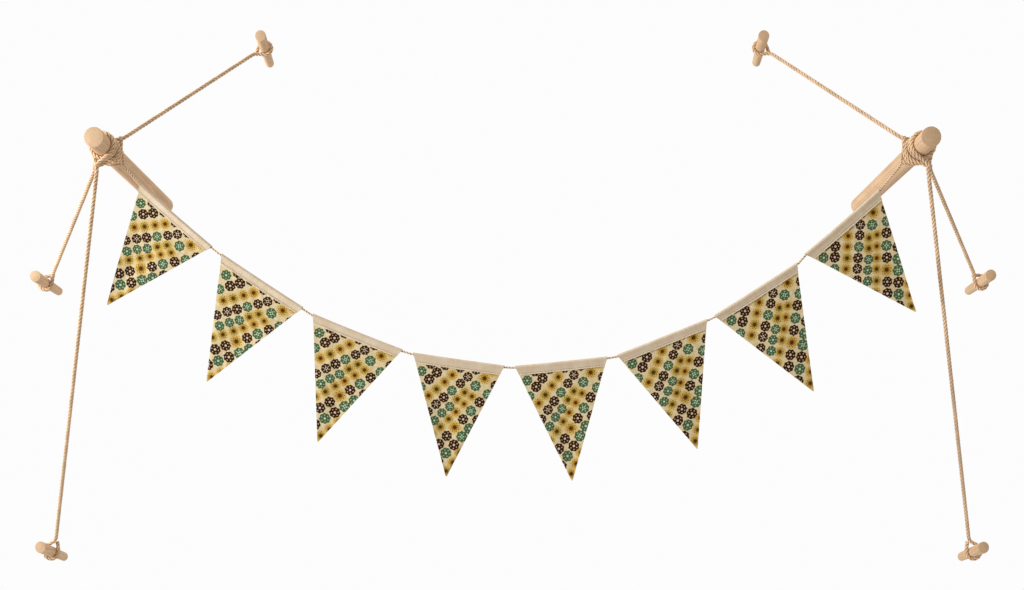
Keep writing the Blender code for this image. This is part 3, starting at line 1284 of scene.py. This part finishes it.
PENNANTS = (
    Pennant(-391.5, 10.2, -315.5, -56.3, -426.3, -118.6, 9.4, 0.6, 2.6, 1.2, -1.6),
    Pennant(-306.0, -63.7, -219.5, -120.7, -322.9, -199.8, 10.0, 0.4, -1.8, 3.2, -1.2),
    Pennant(-210.0, -127.0, -115.0, -165.0, -204.7, -263.1, 10.1, 0.5, 2.0, 1.6, -1.5),
    Pennant(-104.5, -168.1, -7.4, -181.9, -69.6, -300.1, 11.0, 0.3, -1.4, 0.0, 0.0),
    Pennant(2.5, -182.3, 101.0, -172.2, 63.3, -304.0, 10.8, 0.3, 2.4, 0.6, -1.6),
    Pennant(110.1, -170.7, 205.6, -132.6, 196.2, -271.4, 10.4, 0.2, -2.2, 1.4, -3.2),
    Pennant(212.5, -129.2, 300.3, -73.2, 318.0, -209.9, 10.1, 0.3, 1.6, 2.2, -3.4),
    Pennant(308.2, -64.1, 386.4, 4.0, 426.8, -125.7, 11.3, 0.7, -2.0, 1.0, -1.4),
)

HANGING_PLANE_Y = -165.0
STRING_DEPTH = 2.55
TAPE_THICKNESS = 0.7
CLOTH_THICKNESS = 0.5
CLOTH_TOP = 4.1


class Heading:
    """Places points on one pennant: along its heading, down from the top edge, and forward."""

    def __init__(self, number: int, pennant: Pennant) -> None:
        """Works out the heading's directions.

        Args:
            number: Number of the pennant from the left, from 1.
            pennant: The pennant with this heading.
        """
        self.number = number
        self.pennant = pennant
        self.left = Vector((pennant.left_x, HANGING_PLANE_Y, pennant.left_z))
        run = Vector((pennant.right_x - pennant.left_x, 0.0, pennant.right_z - pennant.left_z))
        self.width = run.length
        self.along = run.normalized()
        self.down = Vector((self.along.z, 0.0, -self.along.x))
        tip = Vector((pennant.tip_x, HANGING_PLANE_Y, pennant.tip_z)) - self.left
        self.tip_along = tip.dot(self.along)
        self.drop = tip.dot(self.down)

    def span_at(self, depth: float) -> Span:
        """Where the two slanting sides are, measured along the heading, at a depth below its top."""
        share = depth / self.drop
        return self.tip_along * share, self.width + (self.tip_along - self.width) * share

    def point(self, along: float, depth: float, forward: float) -> Vector:
        """Place of a point of the cloth or tape.

        Args:
            along: Distance along the heading.
            depth: Distance below its top edge.
            forward: Distance in front of the plane in which it hangs.

        Returns:
            The place in millimetres.
        """
        share = along / self.width
        bow = self.pennant.bow * 4.0 * share * (1.0 - share)
        flat = self.left + self.along * along + self.down * (depth + bow)
        return flat - Vector((0.0, forward, 0.0))

    def flattened(self, places: np.ndarray) -> tuple[np.ndarray, np.ndarray]:
        """Distances along and down, in millimetres, of places in metres."""
        offsets = places / MM - np.array(self.left)
        return offsets @ np.array(self.along), offsets @ np.array(self.down)


@dataclass(frozen=True)
class HangingString:
    """The soft string that is tied round both posts and runs through every heading."""

    posts: Mapping[str, Stick]
    headings: Sequence[Heading]
    steps: int = 4

    def build(self) -> None:
        on_left = STRING_NOOSE.points(self.posts["left"], SOFT_CORD.diameter)
        on_right = STRING_NOOSE.mirrored().points(self.posts["right"], SOFT_CORD.diameter)
        middle = []
        for heading in self.headings:
            stops = [heading.width * k / self.steps for k in range(self.steps + 1)]
            middle += [heading.point(along, STRING_DEPTH, 0.0) for along in stops]
        SOFT_CORD.build("hanging_string", "bunting_string", Route.tied(on_left, middle, on_right), seed=5)


def model_sheet(
    columns: int, rows: int, place: Callable[[float, float], Vector], thickness: float
) -> bpy.types.Object:
    """A closed thin sheet, thickened about a bent grid.

    Args:
        columns: Faces across.
        rows: Faces down.
        place: Where a point lies, from its shares across and down the sheet.
        thickness: Thickness in millimetres.

    Returns:
        The sheet, smooth shaded.
    """
    deselect_all()
    bpy.ops.mesh.primitive_grid_add(x_subdivisions=columns, y_subdivisions=rows, size=2.0)
    sheet = bpy.context.object
    for vertex in sheet.data.vertices:
        across, down = (vertex.co.x + 1.0) / 2.0, (vertex.co.y + 1.0) / 2.0
        vertex.co = place(across, down) * MM
    solidify = sheet.modifiers.new("thickness", "SOLIDIFY")
    solidify.thickness = thickness * MM
    solidify.offset = 0.0
    solidify.use_even_offset = True
    bpy.ops.object.modifier_apply(modifier=solidify.name)
    bpy.ops.object.shade_smooth_by_angle(angle=math.radians(50.0))
    return sheet


@dataclass(frozen=True)
class TapeHeading:
    """The folded tape at the top of a pennant, with its row of stitches on both faces.

    The tape's section is a fold round the string, a shoulder where it closes on the cloth, and a leg.
    shoulder_rows are (depth below the string, gap to the cloth), and leg_rows (share of the leg up
    from the edge, gap to the cloth).
    """

    heading: Heading
    columns: int = 72
    leg_rows: tuple[Span, ...] = ((0.0, 0.15), (0.2, 0.15), (0.5, 0.15), (0.8, 0.19))
    shoulder_rows: tuple[Span, ...] = ((3.7, 0.30), (2.6, 0.60))
    fold_gap: float = 0.25
    fold_half_angle: float = 112.0
    fold_steps: int = 16
    swell: float = 0.30
    swells_per_mm: Span = (0.09, 0.12)
    swell_at_fold: float = 0.4
    loose_below: float = 2.0
    ruffle_height: float = 0.35
    ruffles_per_mm: float = 0.05
    pucker: float = 0.05
    pinch: float = 0.10
    pinch_reach: float = 1.2
    stitch_length: float = 1.40
    stitch_width: float = 0.92
    stitch_height: float = 0.70
    stitch_rise: float = 0.15
    stitch_wander: float = 0.08
    stitch_lean: float = 0.05
    first_seed: int = 40

    @property
    def height(self) -> float:
        """Height of the tape from the fold to its edge."""
        return self.heading.pennant.tape_height

    @property
    def seam_depth(self) -> float:
        """Depth of the row of stitches below the fold."""
        return self.height - STITCH_ABOVE_EDGE

    @cached_property
    def profile(self) -> list[Span]:
        """Middle of the tape's section.

        Returns:
            Depths and distances forward, from its back edge over the string to its front edge.
        """
        beside_cloth = CLOTH_THICKNESS / 2.0 + TAPE_THICKNESS / 2.0
        shoulder = [(STRING_DEPTH + below, beside_cloth + gap) for below, gap in self.shoulder_rows]
        leg_length = self.height - shoulder[0][0]
        front = [(self.height - share * leg_length, beside_cloth + gap) for share, gap in self.leg_rows]
        front += shoulder
        arc_radius = SOFT_CORD.diameter / 2.0 + TAPE_THICKNESS / 2.0 + self.fold_gap
        arc = []
        for k in range(self.fold_steps + 1):
            angle = math.radians(self.fold_half_angle * (2.0 * k / self.fold_steps - 1.0))
            arc.append((STRING_DEPTH - arc_radius * math.cos(angle), arc_radius * math.sin(angle)))
        back = [(depth, -forward) for depth, forward in front]
        return back + arc + front[::-1]

    def ruffle(self, along: float) -> float:
        """How far the tape's lower edge wanders up or down at a distance along it."""
        spot = Vector((along * self.ruffles_per_mm, 9.0, self.heading.number * 2.3))
        return noise.noise(spot) * self.ruffle_height

    def surface(self, across: float, down: float) -> Vector:
        """Place of a point of the tape.

        Args:
            across: Its share along the tape.
            down: Its share round the section.

        Returns:
            The place in millimetres.
        """
        position = down * (len(self.profile) - 1)
        row = min(int(position), len(self.profile) - 2)
        share = position - row
        depth, forward = (a + (b - a) * share for a, b in zip(self.profile[row], self.profile[row + 1]))
        left, right = self.heading.span_at(depth)
        along = left + (right - left) * across
        side = math.copysign(1.0, forward)
        loose = smooth_ramp(depth, self.loose_below, self.seam_depth)
        sideways, downward = self.swells_per_mm
        spot = Vector((along * sideways, depth * downward, 3.7 * self.heading.number + side))
        swell = noise.noise(spot) * self.swell * (self.swell_at_fold + loose)
        pucker = math.cos(math.tau * along / STITCH_PITCH) * self.pucker
        pinched = smooth_ramp(abs(depth - self.seam_depth), self.pinch_reach, 0.0)
        outward = swell + (pucker - self.pinch) * pinched
        return self.heading.point(along, depth + self.ruffle(along) * loose, forward + side * outward)

    def build(self) -> bpy.types.Object:
        """Returns:
            The tape.
        """
        heading = self.heading
        tape = model_sheet(self.columns, len(self.profile) - 1, self.surface, TAPE_THICKNESS)
        self.mark_cloth(tape.data)
        settle(tape, f"tape_{heading.number}", TAPE, [f"heading_{heading.number}"])
        stitches = self.model_stitches()
        settle(stitches, f"stitches_{heading.number}", SEWING_THREAD, [])
        profile = [Vector((*point, 0.0)) for point in self.profile]
        around = sum((b - a).length for a, b in zip(profile, profile[1:]))
        low_left, low_right = heading.span_at(self.height)
        mean_width = (heading.width + low_right - low_left) / 2.0
        mean_width * around * MM * MM
        return tape

    def mark_cloth(self, mesh: bpy.types.Mesh) -> None:
        """Stores where each point is along and down the tape, and how high above its lower edge.

        Args:
            mesh: The tape's mesh.
        """
        places = vertex_places(mesh)
        along, down = self.heading.flattened(places)
        forward = places[:, 1] / MM - HANGING_PLANE_Y
        write_uv(mesh, Layer.CLOTH, np.stack((along, down - forward), axis=1)[corner_vertices(mesh)])
        above = mesh.attributes.new(Layer.SEAM.value, "FLOAT", "POINT")
        above.data.foreach_set("value", (self.height - down).astype(np.float32))

    def model_stitch(self) -> bpy.types.Object:
        """Models a short thread that dips into the tape at both ends.

        Returns:
            One stitch at the origin.
        """
        deselect_all()
        bpy.ops.mesh.primitive_uv_sphere_add(
            segments=8,
            ring_count=6,
            radius=0.5,
            rotation=(0.0, math.pi / 2.0, 0.0),
        )
        stitch = bpy.context.object
        bpy.ops.object.mode_set(mode="EDIT")
        bpy.ops.mesh.select_all(action="SELECT")
        size = (self.stitch_length * MM, self.stitch_height * MM, self.stitch_width * MM)
        bpy.ops.transform.resize(value=size)
        bpy.ops.object.mode_set(mode="OBJECT")
        bpy.ops.object.transform_apply(location=False, rotation=True, scale=False)
        bpy.ops.object.shade_smooth()
        return stitch

    def model_stitches(self) -> bpy.types.Object:
        """Copies the stitch along the tape's lower edge, on its front and its back.

        Returns:
            The joined rows.
        """
        stitch = self.model_stitch()
        left, right = self.heading.span_at(self.seam_depth)
        first, last = math.ceil(left / STITCH_PITCH), math.floor(right / STITCH_PITCH)
        rise = CLOTH_THICKNESS / 2.0 + TAPE_THICKNESS + self.stitch_rise
        slope = math.atan2(-self.heading.along.z, self.heading.along.x)
        dice = random.Random(self.first_seed + self.heading.number)
        copies = []
        for side in (1.0, -1.0):
            for k in range(first, last):
                along = (k + 0.5) * STITCH_PITCH
                wander = dice.uniform(-self.stitch_wander, self.stitch_wander)
                depth = self.seam_depth + self.ruffle(along) + wander
                place = self.heading.point(along, depth, side * rise)
                turn = slope + dice.uniform(-self.stitch_lean, self.stitch_lean)
                copy = stitch.copy()
                copy.data = stitch.data.copy()
                copy.data.transform(Matrix.Translation(place * MM) @ Matrix.Rotation(turn, 4, "Y"))
                bpy.context.scene.collection.objects.link(copy)
                copies.append(copy)
        bpy.data.objects.remove(stitch, do_unlink=True)
        deselect_all()
        for copy in copies:
            copy.select_set(True)
        bpy.context.view_layer.objects.active = copies[0]
        bpy.ops.object.join()
        row = bpy.context.object
        row.data.uv_layers.active.name = Layer.YARN.value
        return row


@dataclass(frozen=True)
class PrintRow:
    """A slanting row of flowers on the model pennant: its first flower, the step, and the kinds."""

    along: float
    down: float
    step_along: float
    step_down: float
    radius: float
    kinds: str

    def flowers(self) -> list[tuple[float, float, float, float]]:
        """Lists the row's flowers.

        Returns:
            Each flower's place along and down, its radius and its kind's number.
        """
        made = []
        for k, letter in enumerate(self.kinds):
            along = self.along + k * self.step_along
            down = self.down + k * self.step_down
            made.append((along, down, self.radius, Blossom(letter).level))
        return made


PRINT_ROWS = (
    PrintRow(11.7, 18.8, 8.6, -9.3, 5.5, "gb"),
    PrintRow(13.8, 35.0, 7.3, -8.7, 5.5, "gbbb"),
    PrintRow(22.7, 43.6, 7.3, -8.5, 4.9, "oooob"),
    PrintRow(24.4, 60.0, 7.4, -8.5, 5.3, "bbbgbbb"),
    PrintRow(32.6, 68.4, 6.9, -8.5, 5.2, "gggoo"),
    PrintRow(70.2, 25.8, 8.3, -8.9, 5.5, "goo"),
    PrintRow(32.6, 83.4, 7.1, -9.1, 4.7, "oooooo."),
    PrintRow(40.4, 92.4, 7.3, -9.9, 5.6, "bbobgbgb"),
    PrintRow(42.3, 110.8, 7.0, -9.8, 5.8, "bgbggb"),
    PrintRow(52.4, 119.7, 5.6, -10.3, 4.9, "ooo"),
)


@dataclass(frozen=True)
class FlowerPrint:
    """The small scattered print, charted on one pennant and repeated on each."""

    rows: Sequence[PrintRow]
    model_width: float = 98.1
    model_tip_along: float = 53.1
    model_drop: float = 125.8
    row_slant: float = math.radians(-49.0)
    misplacement: float = 0.35
    growth: Span = (0.97, 1.06)
    strength_on_back: float = 0.38
    seed: int = 77

    @cached_property
    def flowers(self) -> np.ndarray:
        """The charted flowers with a printer's unevenness.

        Returns:
            A row for each flower: along, down, radius, kind, turn, heart and shade.
        """
        dice = random.Random(self.seed)
        flowers = []
        for row in self.rows:
            for along, down, radius, kind in row.flowers():
                along += dice.uniform(-self.misplacement, self.misplacement)
                down += dice.uniform(-self.misplacement, self.misplacement)
                radius *= dice.uniform(*self.growth)
                turn = dice.uniform(0.0, math.tau)
                heart = dice.choice((0.0, 1.0))
                shade = dice.random()
                flowers.append((along, down, radius, kind, turn, heart, shade))
        flowers.sort(key=lambda flower: flower[3] == Blossom.GOLD.level, reverse=True)
        return np.array(flowers)

    def mark(self, mesh: bpy.types.Mesh, heading: Heading) -> None:
        """Writes the print onto a pennant's mesh.

        Each face takes the two flowers nearest to its middle, so that a flower never changes within
        a face, and each of the two has a UV map of its own, with its middle at 0 and its rim at 1.
        The later flower of the list lies on the other.

        Args:
            mesh: The pennant's mesh.
            heading: Its heading, which places it.
        """
        corners = corner_vertices(mesh)
        flat = self.on_model(vertex_places(mesh), heading)
        sizes = np.zeros(len(mesh.polygons), np.int32)
        mesh.polygons.foreach_get("loop_total", sizes)
        face_of_corner = np.repeat(np.arange(len(sizes)), sizes)
        middles = np.zeros((len(sizes), 2))
        np.add.at(middles, face_of_corner, flat[corners])
        middles /= sizes[:, None]
        distances = np.linalg.norm(middles[:, None, :] - self.flowers[None, :, :2], axis=2)
        nearest = np.argsort(distances / self.flowers[None, :, 2], axis=1)[:, :2]
        ranked = np.sort(nearest, axis=1)
        for rank, layer, kinds in ((0, Layer.UNDER, Layer.UNDER_KIND), (1, Layer.OVER, Layer.OVER_KIND)):
            chosen = self.flowers[ranked[:, rank]]
            write_uv(mesh, layer, self.within(flat[corners], chosen[face_of_corner]))
            kind = mesh.attributes.new(kinds.value, "FLOAT_VECTOR", "FACE")
            kind_heart_shade = chosen[:, (3, 5, 6)]
            kind.data.foreach_set("vector", kind_heart_shade.astype(np.float32).ravel())
        threads = self.turned(flat, -self.row_slant)
        write_uv(mesh, Layer.CLOTH, threads[corners])
        fade = mesh.attributes.new(Layer.FADE.value, "FLOAT", "FACE")
        strengths = [1.0 if face.normal.y < 0.0 else self.strength_on_back for face in mesh.polygons]
        fade.data.foreach_set("value", strengths)

    def on_model(self, places: np.ndarray, heading: Heading) -> np.ndarray:
        """Finds a pennant's points on the model pennant, on which the print is charted.

        Args:
            places: The points in metres.
            heading: The pennant's heading.

        Returns:
            Their distances along and down on the model pennant.
        """
        along, down = heading.flattened(places)
        share = (down - heading.pennant.print_down) / heading.drop
        beyond_left = along - heading.pennant.print_along - heading.tip_along * share
        print_along = self.model_tip_along * share + beyond_left * self.model_width / heading.width
        return np.stack((print_along, self.model_drop * share), axis=1)

    def within(self, flat: np.ndarray, chosen: np.ndarray) -> np.ndarray:
        """Places on the print as places in the flower chosen for each: in its radii, turned with it."""
        return self.turned((flat - chosen[:, :2]) / chosen[:, 2:3], chosen[:, 4])

    @staticmethod
    def turned(flat: np.ndarray, angle: float | np.ndarray) -> np.ndarray:
        """Turns places about the origin.

        Args:
            flat: The places.
            angle: One angle for all, or one for each.

        Returns:
            The turned places.
        """
        x, y = flat[:, 0], flat[:, 1]
        cosine, sine = np.cos(angle), np.sin(angle)
        return np.stack((x * cosine - y * sine, x * sine + y * cosine), axis=1)


@dataclass(frozen=True)
class Flag:
    """The printed triangle of one pennant.

    The factors of the pennant's number and side in its shape give each one and each edge its own phase.
    """

    heading: Heading
    flower_print: FlowerPrint
    columns: int = 46
    rows: int = 84
    spare_at_tip: float = 1.0
    ripple: float = 2.2
    ripples_across: float = 1.1
    swell: float = 0.45
    swells_per_mm: Span = (0.11, 0.035)
    swell_start: float = -2.0
    swell_full: float = 9.0
    gather: float = 0.16
    gather_turn: float = 0.95
    gather_middle: float = 4.0
    gather_reach: float = 5.0
    edge_narrowness: int = 6
    edge_cut: float = 0.22
    cuts_per_mm: float = 0.35
    edge_curl: float = 0.5

    def surface(self, across: float, down: float) -> Vector:
        """Place of a point of the cloth, which sways and ripples below its tape.

        Args:
            across: Its share across the pennant.
            down: Its share down the pennant.

        Returns:
            The place in millimetres.
        """
        heading, pennant = self.heading, self.heading.pennant
        number, side = heading.number, round(across)
        bottom = heading.drop - self.spare_at_tip
        depth = CLOTH_TOP + (bottom - CLOTH_TOP) * down
        left, right = heading.span_at(depth)
        along = left + (right - left) * across
        below_seam = depth - pennant.tape_height
        free = smooth_ramp(depth, pennant.tape_height, heading.drop)

        ripple = math.sin(math.tau * self.ripples_across * across + math.pi * pennant.tip_forward)
        forward = pennant.tip_forward * free + self.ripple * ripple * free * (1.0 - free)
        sideways, downward = self.swells_per_mm
        spot = Vector((across * (right - left) * sideways, depth * downward, 5.1 * number))
        swollen = smooth_ramp(below_seam, self.swell_start, self.swell_full)
        forward += noise.noise(spot) * self.swell * swollen
        gathers = math.sin(along * self.gather_turn + number)
        gathered = smooth_ramp(abs(below_seam - self.gather_middle), self.gather_reach, 0.0)
        forward += self.gather * gathers * gathered

        edge = abs(2.0 * across - 1.0) ** self.edge_narrowness
        spot = Vector((depth * self.cuts_per_mm, 4.0 * side, number * 1.7))
        cut = noise.noise(spot) * self.edge_cut * edge
        curl = self.edge_curl * edge * free * math.sin(2.1 * number + 3.0 * side)
        return heading.point(along + cut, depth, forward + curl)

    def build(self, tape: bpy.types.Object) -> None:
        """Args:
            tape: The tape it hangs from. It is not used.
        """
        number = self.heading.number
        cloth = model_sheet(self.columns, self.rows, self.surface, CLOTH_THICKNESS)
        self.flower_print.mark(cloth.data, self.heading)
        settle(cloth, f"flag_{number}", PRINTED_COTTON, [f"pennant_{number}"])
        length = self.heading.drop - CLOTH_TOP
        left, right = self.heading.span_at(CLOTH_TOP)
        (right - left) * MM
        (right - left) * length / 2.0 * MM * MM


@dataclass(frozen=True)
class Softbox:
    """A square light: its place and side in metres, its power in watts and its beam in degrees."""

    name: str
    place: Triple
    size: float
    power: float
    spread: float

    def hang(self, target: Triple) -> None:
        """Hangs the light so that it faces a place.

        Args:
            target: The place in metres.
        """
        light = bpy.data.lights.new(self.name, "AREA")
        light.size = self.size
        light.energy = self.power
        light.spread = math.radians(self.spread)
        lamp = bpy.data.objects.new(self.name, light)
        lamp.location = self.place
        lamp.rotation_euler = (Vector(target) - lamp.location).to_track_quat("-Z", "Y").to_euler()
        bpy.context.scene.collection.objects.link(lamp)


@dataclass(frozen=True)
class Studio:
    """The camera at the photograph's place, a plain pale floor and soft light from the left."""

    camera_place: Triple = (0.0, -1.273, -0.108)
    focal_pixels: float = 1050.0
    photo_width: float = 1024.0
    sensor_mm: float = 36.0
    floor_height: float = -1.36
    floor_size: float = 24.0
    floor_far_edge: float = 3.0
    fill_light: float = 0.41
    fill_warmth: tuple[float, ...] = (1.0, 0.93, 0.85, 1.0)
    backdrop_light: float = 0.98
    lit_place: Triple = (0.0, -0.15, -0.05)
    softboxes: tuple[Softbox, ...] = (
        Softbox("key", (-1.8, -0.82, 0.20), size=0.5, power=15.2, spread=120.0),
        Softbox("back", (1.7, 1.1, 0.9), size=0.9, power=5.0, spread=120.0),
        Softbox("overhead", (0.0, 0.3, 8.0), size=4.0, power=245.0, spread=180.0),
    )

    def build(self) -> None:
        """Sets up the camera, the floor and the lights."""
        self.place_camera()
        self.lay_floor()
        self.light_world()
        for softbox in self.softboxes:
            softbox.hang(self.lit_place)
        bpy.context.scene.view_settings.view_transform = "Standard"

    def place_camera(self) -> None:
        """Puts the camera level in front of the bunting, looking at the wall."""
        lens = bpy.data.cameras.new("camera")
        lens.sensor_width = self.sensor_mm
        lens.lens = self.sensor_mm * self.focal_pixels / self.photo_width
        camera = bpy.data.objects.new("camera", lens)
        camera.location = self.camera_place
        camera.rotation_euler = (math.pi / 2.0, 0.0, 0.0)
        bpy.context.scene.collection.objects.link(camera)
        bpy.context.scene.camera = camera

    def lay_floor(self) -> None:
        """Lays a wide plain floor well below the bunting, which ends before the camera sees it."""
        deselect_all()
        middle = self.floor_far_edge - self.floor_size / 2.0
        bpy.ops.mesh.primitive_plane_add(size=self.floor_size, location=(0.0, middle, self.floor_height))
        floor = bpy.context.object
        bpy.ops.object.transform_apply(location=True, rotation=True, scale=True)
        floor.name = "floor"
        WARDROBE.dress(floor, PAPER)

    def light_world(self) -> None:
        """Fills the room with warm even light, behind which the backdrop stays nearly white."""
        world = bpy.data.worlds.new("studio")
        world.use_nodes = True
        nodes, links = world.node_tree.nodes, world.node_tree.links
        fill = nodes["Background"]
        fill.inputs["Color"].default_value = self.fill_warmth
        fill.inputs["Strength"].default_value = self.fill_light
        backdrop = nodes.new("ShaderNodeBackground")
        backdrop.inputs["Color"].default_value = (1.0, 1.0, 1.0, 1.0)
        backdrop.inputs["Strength"].default_value = self.backdrop_light
        choice = nodes.new("ShaderNodeMixShader")
        links.new(nodes.new("ShaderNodeLightPath").outputs["Is Camera Ray"], choice.inputs[0])
        links.new(fill.outputs[0], choice.inputs[1])
        links.new(backdrop.outputs[0], choice.inputs[2])
        links.new(choice.outputs[0], nodes["World Output"].inputs["Surface"])
        bpy.context.scene.world = world


def main() -> None:
    """Builds the whole scene."""
    logging.basicConfig(level=logging.INFO, format="%(name)s: %(message)s")
    Studio().build()
    headings = [Heading(number, pennant) for number, pennant in enumerate(PENNANTS, start=1)]
    Rigging(POSTS, PEGS, STAYS).build()
    HangingString(POSTS, headings).build()
    for stick in (*POSTS.values(), *PEGS.values()):
        stick.model()
    flower_print = FlowerPrint(PRINT_ROWS)
    for heading in headings:
        tape = TapeHeading(heading).build()
        Flag(heading, flower_print).build(tape)


if __name__ == "__main__":
    main()
